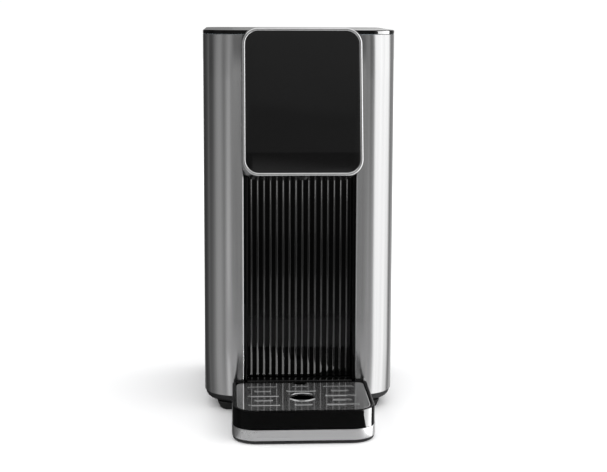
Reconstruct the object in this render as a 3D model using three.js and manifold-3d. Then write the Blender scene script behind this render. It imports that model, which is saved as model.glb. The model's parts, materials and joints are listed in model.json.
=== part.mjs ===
// Countertop hot-water dispenser with a forward-leaning glass head, a ribbed
// dispensing niche, a slide-out drip tray and a lift-off rear water tank.
// Millimetres, +Z up, front faces -Y, X = 0 is the symmetry plane.
import * as THREE from 'three';
import { mergeVertices } from 'three/addons/utils/BufferGeometryUtils.js';
import Module from 'manifold-3d';

const wasm = await Module();
wasm.setup();

// ---------------------------------------------------------------- dimensions
const W = 185;              // body width
const DEPTH = 186;          // body depth behind the front plane
const TRAY_OUT = 100.2;      // tray reach in front of the front plane
const YF = TRAY_OUT - (DEPTH + TRAY_OUT) / 2;   // front plane of the steel
const YB = YF + DEPTH;      // back of the tank
const GAP = 0.3;            // running gap between neighbours
const R_FRONT = 33;         // plan corner radius, front
const R_REAR = 20;          // plan corner radius, rear
const T_STEEL = 1.2;
const Z_BASE0 = 8, Z_STEEL0 = 16.1, Z_STEEL1 = 366.2, Z_LID = 370.4;
const NICHE_HW = 53.7;      // half width between the folded steel edges
const NICHE_D = 17;         // depth of the ribbed wall behind the front plane
const NICHE_Z1 = 232.6;
const RIBS = 16, RIB_PITCH = 6.22, RIB_R = 2.0;
const HEAD_HW = 55.4, HEAD_L = 136.6, HEAD_R = 15, HEAD_TILT = 11.35 * Math.PI / 180;
const HEAD_A = 31.5, HEAD_Z = 373.2;   // top front edge: reach and height
const RIM = 3.0;            // width of the silver band
const NOZZLE_OUT = 44;      // nozzle, in front of the front plane
const DRAIN_OUT = 54;       // drain hole, in front of the front plane
const TRAY_HW = 65.8, TRAY_R = 23, TRAY_TOP = 30.8;
const PLATE_T = 1.4, PLATE_TOP = 30.2;
const TANK_D = 64.8;        // tank depth
const Y_PANEL_END = YB - 65.5;
const Z_TANK0 = 38.6, Z_TANK1 = 367.1;

// ------------------------------------------------------------------- helpers
const group = new THREE.Group();
group.name = 'water_dispenser';

function volume(g) {
  const p = g.attributes.position, ix = g.index;
  const a = new THREE.Vector3(), b = new THREE.Vector3(), c = new THREE.Vector3();
  let v = 0;
  const n = ix ? ix.count : p.count;
  for (let i = 0; i < n; i += 3) {
    const q = k => (ix ? ix.getX(i + k) : i + k);
    a.fromBufferAttribute(p, q(0)); b.fromBufferAttribute(p, q(1)); c.fromBufferAttribute(p, q(2));
    v += a.dot(b.clone().cross(c)) / 6;
  }
  return v;
}
function weld(g) {
  const s = new THREE.BufferGeometry();
  s.setAttribute('position', g.attributes.position.clone());
  if (g.index) s.setIndex(g.index.clone());
  let m = mergeVertices(s, 1e-4);
  const idx = Array.from(m.index.array), out = [];
  for (let i = 0; i < idx.length; i += 3) {
    const [a, b, c] = [idx[i], idx[i + 1], idx[i + 2]];
    if (a !== b && b !== c && a !== c) out.push(a, b, c);
  }
  m.setIndex(out);
  if (volume(m) < 0) {
    for (let i = 0; i < out.length; i += 3) { const t = out[i + 1]; out[i + 1] = out[i + 2]; out[i + 2] = t; }
    m.setIndex(out);
  }
  return m;
}
function toM(g) {
  const m = weld(g);
  return new wasm.Manifold(new wasm.Mesh({
    numProp: 3,
    vertProperties: new Float32Array(m.attributes.position.array),
    triVerts: new Uint32Array(m.index.array),
  }));
}
function fromM(man) {
  const me = man.getMesh();
  const g = new THREE.BufferGeometry();
  g.setAttribute('position', new THREE.BufferAttribute(new Float32Array(me.vertProperties), 3));
  g.setIndex(Array.from(me.triVerts));
  return g;
}
const add = (...gs) => fromM(gs.slice(1).reduce((m, g) => m.add(toM(g)), toM(gs[0])));
const cut = (g, ...cs) => fromM(cs.reduce((m, c) => m.subtract(toM(c)), toM(g)));
const meet = (a, b) => fromM(toM(a).intersect(toM(b)));

function put(name, geo, color, rough = 0.5, metal = 0, extra = {}) {
  const g = weld(geo);
  const out = g.toNonIndexed();
  out.computeVertexNormals();
  const mesh = new THREE.Mesh(weld(out), new THREE.MeshStandardMaterial({ color, roughness: rough, metalness: metal, ...extra }));
  mesh.geometry.computeVertexNormals();
  mesh.name = name;
  group.add(mesh);
  return mesh;
}
// rounded plan outline; front corners at y0, rear corners at y1
function outline(hw, y0, y1, rf, rb, inset = 0) {
  const x = hw - inset, a = y0 + inset, b = y1 - inset;
  const f = Math.max(rf - inset, 0.4), r = Math.max(rb - inset, 0.4);
  const s = new THREE.Shape();
  s.moveTo(-x + f, a); s.lineTo(x - f, a); s.absarc(x - f, a + f, f, -Math.PI / 2, 0, false);
  s.lineTo(x, b - r); s.absarc(x - r, b - r, r, 0, Math.PI / 2, false);
  s.lineTo(-x + r, b); s.absarc(-x + r, b - r, r, Math.PI / 2, Math.PI, false);
  s.lineTo(-x, a + f); s.absarc(-x + f, a + f, f, Math.PI, 1.5 * Math.PI, false);
  return s;
}
const slab = (s, z0, z1, seg = 8) => new THREE.ExtrudeGeometry(s, { depth: z1 - z0, bevelEnabled: false, curveSegments: seg }).translate(0, 0, z0);
function box(x0, x1, y0, y1, z0, z1) {
  return new THREE.BoxGeometry(x1 - x0, y1 - y0, z1 - z0).translate((x0 + x1) / 2, (y0 + y1) / 2, (z0 + z1) / 2);
}
function lathe(pts, x = 0, y = 0, seg = 24) {   // pts: [r, z] bottom to top, closed on itself or the axis
  const g = new THREE.LatheGeometry(pts.map(p => new THREE.Vector2(p[0], p[1])), seg);
  g.rotateX(Math.PI / 2);
  return g.translate(x, y, 0);
}
const cyl = (r, z0, z1, x = 0, y = 0, seg = 24) => lathe([[0, z0], [r, z0], [r, z1], [0, z1]], x, y, seg);
const ring = (ro, ri, z0, z1, x = 0, y = 0, seg = 24) => lathe([[ri, z0], [ro, z0], [ro, z1], [ri, z1], [ri, z0]], x, y, seg);
function hose(pts, r, steps = 22) {
  const c = new THREE.CatmullRomCurve3(pts.map(p => new THREE.Vector3(...p)), false, 'centripetal');
  const s = new THREE.Shape();
  s.absarc(0, 0, r, 0, 2 * Math.PI, false);
  return new THREE.ExtrudeGeometry(s, { steps, bevelEnabled: false, extrudePath: c, curveSegments: 5 });
}

// ---------------------------------------------------------------- base, feet
{
  const o = outline(W / 2 - 1.2, YF + 1.2, YB - 4, R_FRONT - 1.2, R_REAR - 2, 8.5);
  const body = new THREE.ExtrudeGeometry(o, { depth: 24, bevelEnabled: true, bevelThickness: 7, bevelSize: 8.5, bevelSegments: 5, curveSegments: 8 }).translate(0, 0, Z_BASE0 + 7);
  const clipped = meet(body, box(-100, 100, -150, 150, Z_BASE0 - 1, Z_STEEL0 - GAP));
  put('base_pan', cut(clipped, slab(outline(W / 2 - 1.2, YF + 1.2, YB - 4, R_FRONT - 1.2, R_REAR - 2, 10.5), Z_BASE0 + 2.8, 40)), 0x17181a, 0.45);
  const foot = (n, x, y) => put(n, lathe([[0, 0], [8.4, 0], [9.4, 0.8], [12, Z_BASE0 - GAP], [0, Z_BASE0 - GAP]], x, y, 24), 0x101010, 0.9);
  foot('foot_front_left', -68, YF + 18); foot('foot_front_right', 68, YF + 18);
  foot('foot_rear_left', -66, YB - 30); foot('foot_rear_right', 66, YB - 30);
}

// ------------------------------------------------------- steel side panels
function panel(sx) {
  const x = W / 2, r = R_FRONT, t = T_STEEL, pts = [];
  pts.push([NICHE_HW, YF], [x - r, YF]);
  for (let i = 1; i <= 12; i++) { const a = -Math.PI / 2 + i * Math.PI / 24; pts.push([x - r + r * Math.cos(a), YF + r + r * Math.sin(a)]); }
  pts.push([x, Y_PANEL_END], [x - t, Y_PANEL_END]);
  for (let i = 12; i >= 0; i--) { const a = -Math.PI / 2 + i * Math.PI / 24; pts.push([x - r + (r - t) * Math.cos(a), YF + r + (r - t) * Math.sin(a)]); }
  pts.push([NICHE_HW + t, YF + t], [NICHE_HW + t, YF + 5.2], [NICHE_HW, YF + 5.2]);
  const s = new THREE.Shape(pts.map(p => new THREE.Vector2(sx * p[0], p[1])));
  return slab(s, Z_STEEL0, Z_STEEL1);
}
put('side_panel_left', panel(-1), 0x8d8e90, 0.35, 1);
put('side_panel_right', panel(1), 0x8d8e90, 0.35, 1);

// ------------------------------------------------------------- ribbed niche
{
  const xw = NICHE_HW - 0.4, t = 2.0, yb = YF + NICHE_D, p = [];
  p.push([-xw, YF + 0.8], [-xw + t, YF + 0.8], [-xw + t, yb - 1.7]);
  for (let i = 1; i <= 3; i++) { const a = Math.PI - i * Math.PI / 6; p.push([-xw + t + 1.7 + 1.7 * Math.cos(a), yb - 1.7 + 1.7 * Math.sin(a)]); }
  for (let k = 0; k < RIBS; k++) {
    const cx = (k - (RIBS - 1) / 2) * RIB_PITCH;
    for (let i = 0; i <= 6; i++) { const a = Math.PI + i * Math.PI / 6; p.push([cx + RIB_R * Math.cos(a), yb + RIB_R * Math.sin(a) * 1.0]); }
  }
  const m = [];
  for (let i = 5; i >= 0; i--) m.push([-p[i][0], p[i][1]]);
  const back = [[xw, yb + 2.2], [-xw, yb + 2.2]];
  const s = new THREE.Shape([...p, ...m, ...back].map(q => new THREE.Vector2(q[0], q[1])));
  put('niche_panel', slab(s, 31.3, NICHE_Z1), 0x0a0a0b, 0.12);
  put('niche_sill', box(-50.9, 50.9, YF + 0.2, YF + NICHE_D - RIB_R - GAP, 28.4, 31.0), 0x0c0c0d, 0.3);
  const skirt = box(-53, 53, YF + 0.6, YF + 3, Z_STEEL0 + 0.1, 28.1);
  put('front_skirt', cut(skirt, box(23, 35, YF - 2, YF + 6, 16.4, 22.8), box(-35, -23, YF - 2, YF + 6, 16.4, 22.8)), 0x141414, 0.5);
  const mount = box(-52.9, 52.9, YF + 0.8, YF + 3.8, NICHE_Z1 + GAP, 365);
  put('head_mount_plate', cut(mount, cyl(7, -6, 6, 0, 0).rotateX(Math.PI / 2).translate(0, YF + 2, 281)), 0x222324, 0.6);
}

// --------------------------------------------------------------------- head
const ct = Math.cos(HEAD_TILT), st = Math.sin(HEAD_TILT);
function faceShape(inset, r = HEAD_R) {
  const x = HEAD_HW - inset, q = Math.max(r - inset, 2);
  const s = new THREE.Shape(), y1 = -inset, y0 = -HEAD_L + inset;
  s.moveTo(-x + q, y0); s.lineTo(x - q, y0); s.absarc(x - q, y0 + q, q, -Math.PI / 2, 0, false);
  s.lineTo(x, y1 - q); s.absarc(x - q, y1 - q, q, 0, Math.PI / 2, false);
  s.lineTo(-x + q, y1); s.absarc(-x + q, y1 - q, q, Math.PI / 2, Math.PI, false);
  s.lineTo(-x, y0 + q); s.absarc(-x + q, y0 + q, q, Math.PI, 1.5 * Math.PI, false);
  return s;
}
// in-plane (x, up) and depth e behind the face -> body frame
function faceMap(g, flatTop) {
  const p = g.attributes.position;
  for (let i = 0; i < p.count; i++) {
    const x = p.getX(i), s = -p.getY(i), e = p.getZ(i);
    if (flatTop) p.setXYZ(i, x, YF - (HEAD_A + s * st) + e, HEAD_Z - s * ct);
    else p.setXYZ(i, x, YF - (HEAD_A + s * st) + e * ct, HEAD_Z - s * ct - e * st);
  }
  return g;
}
function headSolid(inset, e0, e1) {
  const mk = flat => faceMap(new THREE.ExtrudeGeometry(faceShape(inset), { depth: e1 - e0, bevelEnabled: false, curveSegments: 7 }).translate(0, 0, e0), flat);
  const upper = meet(mk(true), box(-90, 90, -300, 300, 300, 500));
  return add(mk(false), upper);
}
const headClip = box(-90, 90, -300, YF - 0.4, 150, 450);
const nozzleCut = cyl(6.2, 222, 262, 0, YF - NOZZLE_OUT);
{
  const outer = meet(headSolid(0, 0, 80), headClip);
  const inner = headSolid(RIM, -5, 90);
  put('head_band', cut(outer, inner, nozzleCut), 0xc9cbcd, 0.2, 1);
  const glass = faceMap(new THREE.ExtrudeGeometry(faceShape(RIM + 0.25), { depth: 3, bevelEnabled: false, curveSegments: 7 }).translate(0, 0, 0.2), false);
  put('control_glass', glass, 0x050506, 0.05);
  const cOut = meet(headSolid(RIM + 0.4, 3.6, 80), headClip);
  const cIn = headSolid(RIM + 2.4, 5.6, 90);
  put('head_carrier', cut(cOut, cIn, nozzleCut, box(-45, 45, -300, YF - 10, 290, 345)), 0x1b1c1d, 0.6);
  const sh = new THREE.Shape();
  sh.moveTo(-44, -96); sh.lineTo(44, -96); sh.lineTo(44, -10); sh.lineTo(-44, -10); sh.closePath();
  put('display_board', faceMap(new THREE.ExtrudeGeometry(sh, { depth: 1.6, bevelEnabled: false }).translate(0, 0, 6.4), false), 0x1d5a36, 0.6);
  put('outlet_nozzle', lathe([[2.6, 234.2], [4.2, 234.2], [5.2, 236.4], [5.2, 250], [2.6, 250], [2.6, 234.2]], 0, YF - NOZZLE_OUT, 20), 0xb9bbbd, 0.2, 1);
}

// ------------------------------------------------------------- top, rear wall
{
  const o = outline(W / 2, YF, Y_PANEL_END + 0.2, R_FRONT, 0.6, 1.2);
  const plate = new THREE.ExtrudeGeometry(o, { depth: 8, bevelEnabled: true, bevelThickness: 1.2, bevelSize: 1.2, bevelSegments: 3, curveSegments: 10 }).translate(0, 0, Z_LID - 9.2);
  const top = meet(plate, box(-100, 100, -150, 150, Z_STEEL1 + GAP, 400));
  const skirt = cut(slab(outline(W / 2 - 2, YF + 5.6, Y_PANEL_END - 3, R_FRONT - 6, 2, 0), 357, Z_STEEL1 + 1.2), slab(outline(W / 2 - 2, YF + 5.6, Y_PANEL_END - 3, R_FRONT - 6, 2, 2), 350, Z_STEEL1 + GAP + 0.01));
  put('top_cover', add(top, skirt), 0x0b0b0c, 0.15);
  const b = new THREE.Shape();
  b.moveTo(-90.9, Z_STEEL0 + 0.1); b.lineTo(90.9, Z_STEEL0 + 0.1); b.lineTo(90.9, 356.5); b.lineTo(-90.9, 356.5); b.closePath();
  const h = new THREE.Path(); h.absarc(0, 28, 6, 0, 2 * Math.PI, true); b.holes.push(h);
  const wall = new THREE.ExtrudeGeometry(b, { depth: 2, bevelEnabled: false, curveSegments: 8 }).rotateX(Math.PI / 2).translate(0, Y_PANEL_END - 0.2, 0);
  put('rear_bulkhead', wall, 0x1d1e20, 0.6);
}

// --------------------------------------------------- tank plinth and socket
const TX = 0, TY = YB - 34;
{
  const y0 = Y_PANEL_END + 0.2, y1 = YB - 7;
  const shell = slab(outline(90, y0, y1, 1, R_REAR - 5, 0), Z_STEEL0 + 0.1, 38);
  const hollow = slab(outline(87.5, y0 - 20, y1 - 2.5, 1, R_REAR - 7.5, 0), 10, 35.5);
  const glandCut = cyl(5, -12, 12, 0, 0, 20).rotateX(Math.PI / 2).translate(58, y1 - 2, 25.5);
  put('tank_plinth', cut(shell, hollow, cyl(11, 20, 60, TX, TY), glandCut), 0x151617, 0.5);
  const cup = lathe([[0, 21.5], [10.6, 21.5], [10.6, 37.9], [8.9, 37.9], [8.9, 24], [1.5, 24], [1.5, 33.5], [0, 33.5]], TX, TY, 24);
  const spigot = cyl(3, 0, 8, 0, 0, 16).rotateX(Math.PI / 2).translate(TX, TY - 9.5, 28);
  put('inlet_socket', add(cup, spigot), 0x303234, 0.5);
  put('inlet_seal', ring(8.6, 6.6, 24.3, 26.3, TX, TY, 24), 0x8c2f24, 0.9);
  const gl = lathe([[0, 0], [4.7, 0], [4.7, 4.8], [6.2, 5.1], [6.2, 7.2], [4.4, 10.4], [0, 10.4]], 0, 0, 20).rotateX(-Math.PI / 2).translate(58, y1 - 4.8, 25.5);
  put('cord_gland', gl, 0x0d0d0d, 0.9);
}

// ----------------------------------------------------------------- the works
{
  const px = -55, py = 30;
  put('pump_mount', box(px - 17, px + 17, py - 16, py + 16, Z_BASE0 + 3.1, 17), 0x202020, 0.9);
  put('pump_motor', cyl(14, 17.3, 52, px, py), 0x9ea1a4, 0.35, 1);
  const side = cyl(3, 0, 10, 0, 0, 16).rotateY(Math.PI / 2).translate(px + 13, py, 62);
  put('pump_head', add(cyl(15, 52.3, 72, px, py), cyl(3, 71, 78, px, py, 16), side), 0xe0e0dc, 0.5);
  const hx = 30, hy = 14;
  put('flow_heater', add(cyl(22, 90, 230, hx, hy, 32), cyl(3, 84, 91, hx, hy, 16), cyl(3, 229, 236, hx, hy, 16)), 0xb6b8ba, 0.4, 1);
  put('heater_bracket', cut(box(hx - 27, hx + 27, hy - 8, Y_PANEL_END - 2.5, 150, 156), cyl(22.3, 140, 170, hx, hy, 32)), 0x77797b, 0.4, 1);
  put('thermostat', box(hx - 6, hx + 6, hy + 22.4, hy + 28, 190, 202), 0x222222, 0.6);
  put('hose_tank_pump', hose([[TX, TY - 17.8, 28], [TX, 80, 28], [-1, 66, 29], [-8, 50, 40], [-18, 34, 57], [px + 27, py, 62], [px + 23.5, py, 62]], 3), 0xd8d8d2, 0.6);
  put('hose_pump_heater', hose([[px, py, 78.3], [px, py, 84], [-49, 29, 91], [-34, 26, 88], [-8, 20, 72], [14, 16, 64], [27, 14.5, 68], [hx, hy, 76], [hx, hy, 83.7]], 3), 0xd8d8d2, 0.6);
  put('hose_heater_nozzle', hose([[hx, hy, 236.3], [hx, hy - 1, 246], [25, 2, 262], [12, -22, 276], [0, -48, 281], [0, -62, 279], [0, -80, 268], [0, YF - NOZZLE_OUT, 257], [0, YF - NOZZLE_OUT, 250.3]], 2.8, 26), 0xd8d8d2, 0.6);
  put('control_board', box(-80, -10, Y_PANEL_END - 8, Y_PANEL_END - 6.4, 190, 300), 0x1d5a36, 0.6);
  put('power_board', box(-84, -82.4, -20, 55, 110, 180), 0x1d5a36, 0.6);
  put('level_sensor', box(-12, 12, Y_PANEL_END - 6, Y_PANEL_END - 2.6, 60, 72), 0x262626, 0.6);
}

// ----------------------------------------------------------------- drip tray
{
  const yb = YF - 0.6, yf = YF - TRAY_OUT;
  const o = i => outline(TRAY_HW, yf, yb, TRAY_R, 4, i);
  const upper = slab(o(0.4), 13.5, TRAY_TOP), lower = slab(o(2.6), 3.3, 13.6);
  const tongues = [box(24, 34, yb - 2, YF + 7, 17, 22), box(-34, -24, yb - 2, YF + 7, 17, 22)];
  put('tray_dish', cut(add(upper, lower, ...tongues), slab(o(3.9), 28.5, 40), slab(o(6.0), 6, 40)), 0x0a0a0b, 0.12);
  put('tray_band', cut(slab(o(0), 3.3, 13.2), slab(o(2.3), 0, 20)), 0xb9bbbd, 0.3, 1);
  put('tray_base', slab(o(0.8), 0, 3.0), 0x101011, 0.5);

  const s = outline(TRAY_HW, yf, yb, TRAY_R, 10.5, 4.2);
  const slot = (cx, d, half, hw = 1.3) => {
    const p = new THREE.Path(), y = YF - d;
    p.moveTo(cx - half + hw, y - hw); p.lineTo(cx + half - hw, y - hw);
    p.absarc(cx + half - hw, y, hw, -Math.PI / 2, Math.PI / 2, false);
    p.lineTo(cx - half + hw, y + hw); p.absarc(cx - half + hw, y, hw, Math.PI / 2, 1.5 * Math.PI, false);
    s.holes.push(p);
  };
  for (const sx of [-1, 1]) {
    for (const d of [20.0, 49.2, 78.0]) slot(sx * 36.2, d, 14.2);
    for (const d of [33.1, 63.0]) slot(sx * 36.5, d, 8.2);
  }
  slot(0, 19.0, 7.9); slot(0, 33.6, 14.3); slot(0, 77.4, 7.6);
  const plate = new THREE.ExtrudeGeometry(s, { depth: PLATE_T, bevelEnabled: false, curveSegments: 4 }).translate(0, 0, PLATE_TOP - PLATE_T);
  const lip = ring(12.8, 11.4, PLATE_TOP - PLATE_T, PLATE_TOP + 0.7, 0, YF - DRAIN_OUT, 32);
  const hole = cyl(11.4, 20, 40, 0, YF - DRAIN_OUT, 32);
  const notch = cyl(6, 20, 40, 0, yb - 4.3, 20);
  put('drip_plate', cut(add(cut(plate, hole), lip), notch), 0xc4c6c8, 0.15, 1);
}

// ----------------------------------------------------------------- water tank
{
  const y0 = YB - TANK_D, y1 = YB;
  const o = i => outline(W / 2 - 0.5, y0, y1, 4, R_REAR, i);
  const shell = cut(slab(o(0), Z_TANK0, Z_TANK1), slab(o(2.2), Z_TANK0 + 3, 400), cyl(8.2, 20, 60, TX, TY));
  put('tank_shell', shell, 0x4a5256, 0.1, 0, { transparent: true, opacity: 0.5 });
  // valve in the tank floor
  const v = lathe([[2.4, 36], [7.8, 36], [7.8, 41.9], [10.5, 41.9], [10.5, 44], [6, 44], [6, 58], [1.9, 58], [1.9, 56], [3.4, 56], [3.4, 43.7], [2.4, 43.7], [2.4, 36]], TX, TY, 24);
  put('valve_body', v, 0x2a2c2e, 0.5);
  put('valve_seal', ring(8.5, 7.95, 36.2, 38.3, TX, TY, 24), 0x8c2f24, 0.9);
  put('valve_plunger', lathe([[0, 33.8], [1.5, 33.8], [1.5, 44], [3.1, 44], [3.1, 46.4], [1.4, 46.4], [1.4, 61], [0, 61]], TX, TY, 20), 0xdcdcd6, 0.5);
  const pts = [];
  for (let i = 0; i <= 48; i++) { const a = i / 48 * 4 * 2 * Math.PI; pts.push([TX + 2.45 * Math.cos(a), TY + 2.45 * Math.sin(a), 47.2 + i / 48 * 8]); }
  const c = new THREE.CatmullRomCurve3(pts.map(p => new THREE.Vector3(...p)));
  const w = new THREE.Shape(); w.absarc(0, 0, 0.35, 0, 2 * Math.PI, false);
  put('valve_spring', new THREE.ExtrudeGeometry(w, { steps: 64, bevelEnabled: false, extrudePath: c, curveSegments: 3 }), 0xb0b2b4, 0.3, 1);
  put('inlet_filter', ring(9.6, 6.4, 44.3, 54, TX, TY, 24), 0xe6e6e0, 0.8);

  // rear bridge and hinged lid
  const yh = YB - 14.4, zh = Z_TANK1 + GAP + 1.5;
  const top = outline(W / 2 - 0.5, y0, y1, 4, R_REAR, 0);
  const full = slab(top, zh - 1.5, zh + 1.5);
  const pinBore = cyl(0.8, -95, 95, 0, 0, 12).rotateY(Math.PI / 2).translate(0, yh, zh);
  const ear = (a, b) => add(box(a, b, yh, yh + 2.4, zh - 1.5, zh + 1.5), cyl(1.5, a, b, 0, 0, 16).rotateY(Math.PI / 2).translate(0, yh, zh));
  put('tank_bridge', cut(add(meet(full, box(-100, 100, yh + 2.1, 200, 300, 400)), ear(78.6, 86), ear(-86, -78.6)), pinBore), 0x0e0e0f, 0.3);
  const flat = meet(full, box(-100, 100, -200, yh, 300, 400));
  const knuckle = cyl(1.5, -78, 78, 0, 0, 16).rotateY(Math.PI / 2).translate(0, yh, zh);
  const lid = cut(add(meet(flat, box(-200, 200, -200, yh, 300, 400)), knuckle), pinBore, cyl(13, 300, 400, 0, y0 + 26, 28),
    box(78.3, 120, yh - 2.1, yh + 10, 300, 400), box(-120, -78.3, yh - 2.1, yh + 10, 300, 400));
  put('tank_lid', lid, 0x0e0e0f, 0.15);
  put('hinge_pin', cyl(0.55, -84, 84, 0, 0, 12).rotateY(Math.PI / 2).translate(0, yh, zh), 0xb0b2b4, 0.3, 1);
}

export default group;
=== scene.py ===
import json
import math
import random

import bmesh
import bpy
from mathutils import Matrix, Vector


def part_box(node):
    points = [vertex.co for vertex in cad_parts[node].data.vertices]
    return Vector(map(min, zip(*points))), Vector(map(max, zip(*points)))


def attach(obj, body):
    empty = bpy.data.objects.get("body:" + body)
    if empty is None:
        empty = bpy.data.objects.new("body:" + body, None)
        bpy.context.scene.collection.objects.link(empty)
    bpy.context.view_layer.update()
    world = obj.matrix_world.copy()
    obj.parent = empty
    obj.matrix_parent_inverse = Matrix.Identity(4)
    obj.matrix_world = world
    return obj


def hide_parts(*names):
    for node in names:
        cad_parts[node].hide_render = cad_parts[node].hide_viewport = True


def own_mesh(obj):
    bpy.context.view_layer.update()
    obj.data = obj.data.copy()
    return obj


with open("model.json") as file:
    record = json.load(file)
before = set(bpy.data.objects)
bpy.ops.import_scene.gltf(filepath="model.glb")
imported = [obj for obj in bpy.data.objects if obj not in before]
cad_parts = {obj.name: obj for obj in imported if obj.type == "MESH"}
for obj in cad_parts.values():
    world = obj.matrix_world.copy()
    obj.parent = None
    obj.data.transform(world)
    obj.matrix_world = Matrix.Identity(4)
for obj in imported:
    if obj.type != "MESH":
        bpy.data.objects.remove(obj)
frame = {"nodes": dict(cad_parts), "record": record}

random.seed(7)
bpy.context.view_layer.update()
MM = 0.001
N = frame["nodes"]


def B(node):
    lo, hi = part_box(node)
    return lo / MM, hi / MM


# ------------------------------------------------------------ key dimensions (mm)
pl_lo, pl_hi = B("side_panel_left")
pr_lo, pr_hi = B("side_panel_right")
YF = pl_lo.y                       # flat front of the steel
HW = pr_hi.x                       # half width
Z_S0, Z_S1 = pl_lo.z, pl_hi.z
Y_PE = pl_hi.y                     # rear edge of the side panels
NICHE = -pl_hi.x                   # half width between the folded edges
R_F = 33.0
T_ST = 1.2
hb_lo, hb_hi = B("head_band")
TILT = math.radians(11.35)
HEAD_HW = hb_hi.x
HEAD_L = 136.6
HEAD_R = 15.0
HEAD_Z = hb_hi.z
HEAD_A = 31.5
RIM = 3.0

# ------------------------------------------------------------------- camera
# The camera first: the photograph's viewing angle, from a fit of the CAD to it.
cam_data = bpy.data.cameras.new("camera")
cam = bpy.data.objects.new("camera", cam_data)
bpy.context.scene.collection.objects.link(cam)
F_PX, CX_PX, CY_PX = 1350.0, 303.5, 181.49
yaw, pitch, roll = 0.052747, 0.128405, 0.003068
cp, sp, cy_, sy_ = math.cos(pitch), math.sin(pitch), math.cos(yaw), math.sin(yaw)
fwd = Vector((sy_ * cp, cy_ * cp, -sp))
right = Vector((cy_, -sy_, 0))
up = right.cross(fwd)
r2 = right * math.cos(roll) + up * math.sin(roll)
u2 = up * math.cos(roll) - right * math.sin(roll)
m = Matrix((r2, u2, -fwd)).transposed().to_4x4()
m.translation = Vector((-64.213, YF - 1278.131, 391.769)) * MM
cam.matrix_world = m
cam_data.sensor_width = 36
cam_data.lens = F_PX * 36 / 607
cam_data.shift_x = 0
cam_data.shift_y = -(236.0 - CY_PX) / 607
cam_data.clip_start, cam_data.clip_end = 0.05, 60
bpy.context.scene.camera = cam


# ------------------------------------------------------------- studio settings
# radiance by compass angle round the object, 0 straight in front, + to its right
LEFT_HIGH = [(-180, 0.30), (-164, 0.20), (-150, 0.04), (-137, 0.06), (-129, 0.08), (-121, 0.10), (-115, 0.18), (-109, 0.09), (-103, 0.06),
             (-97, 0.07), (-91, 0.09), (-86, 0.15), (-80, 0.26), (-72, 0.34), (-65, 0.38), (-59, 0.37), (-54, 0.28), (-48, 0.21), (-44, 0.20),
             (-40, 0.26), (-35, 0.32), (-30, 0.40), (-27, 0.42), (-23, 0.30), (-16, 0.30), (0, 0.32)]
LEFT_LOW = [(-180, 0.30), (-164, 0.20), (-150, 0.05), (-137, 0.05), (-123, 0.09), (-116, 0.17), (-110, 0.14), (-99, 0.17), (-90, 0.24),
            (-84, 0.31), (-77, 0.42), (-70, 0.45), (-60, 0.42), (-53, 0.36), (-48, 0.30), (-44, 0.36), (-40, 0.52), (-36, 0.75), (-32, 0.78),
            (-28, 0.60), (-24, 0.46), (-18, 0.34), (-12, 0.28), (0, 0.28)]
RIGHT_HIGH = [(0, 0.32), (16, 0.29), (22, 0.26), (28, 0.33), (31, 0.17), (36, 0.15), (41, 0.22), (45, 0.32), (49, 1.45), (54, 1.55), (64, 1.52),
              (74, 1.7), (84, 1.42), (92, 1.6), (108, 1.6), (114, 1.2), (119, 0.5), (124, 0.26), (134, 0.32), (150, 0.34), (166, 0.9), (174, 0.7), (180, 0.35)]
RIGHT_LOW = [(0, 0.34), (14, 0.35), (22, 0.39), (28, 0.54), (31, 0.45), (37, 0.46), (43, 0.56), (47, 0.70), (51, 1.3), (58, 1.6), (63, 1.45),
             (70, 1.55), (79, 1.35), (86, 1.55), (94, 1.5), (99, 1.15), (110, 1.12), (116, 0.85), (121, 0.4), (126, 0.18), (134, 0.34), (146, 0.6), (180, 0.5)]
# straight in front, by height angle
FRONT = [(-30, 0.5), (-13.4, 0.4), (-13, 0.16), (-12, 0.12), (-11.2, 0.10), (-10.3, 0.07), (-9.4, 0.11), (-8.6, 0.12), (-7.5, 0.14), (-5.5, 0.36),
         (-3, 0.42), (6.5, 0.42), (9, 0.08), (16, 0.08), (17.5, 0.15), (30, 0.24), (90, 0.3)]
CEIL = 0.9
AMBIENT = 1.30
SUN = 0.55
BANK = 58.0
CARD_TOP = 2.4
CARD_LOW = 1.35
CARD_HIGH = 4.0
CARD_SHOULDER = 0.45
CARD_MID = 0.34
CARD_PLATE = 0.8
BANK_TRIM = 2.2
CARD_TURN = 50.0
# albedo of the floor copy that only reflections see: painted darker than the real floor, as painted shade in the
# reflections
NEAR_SHADED_ALBEDO = 0.40

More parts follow.
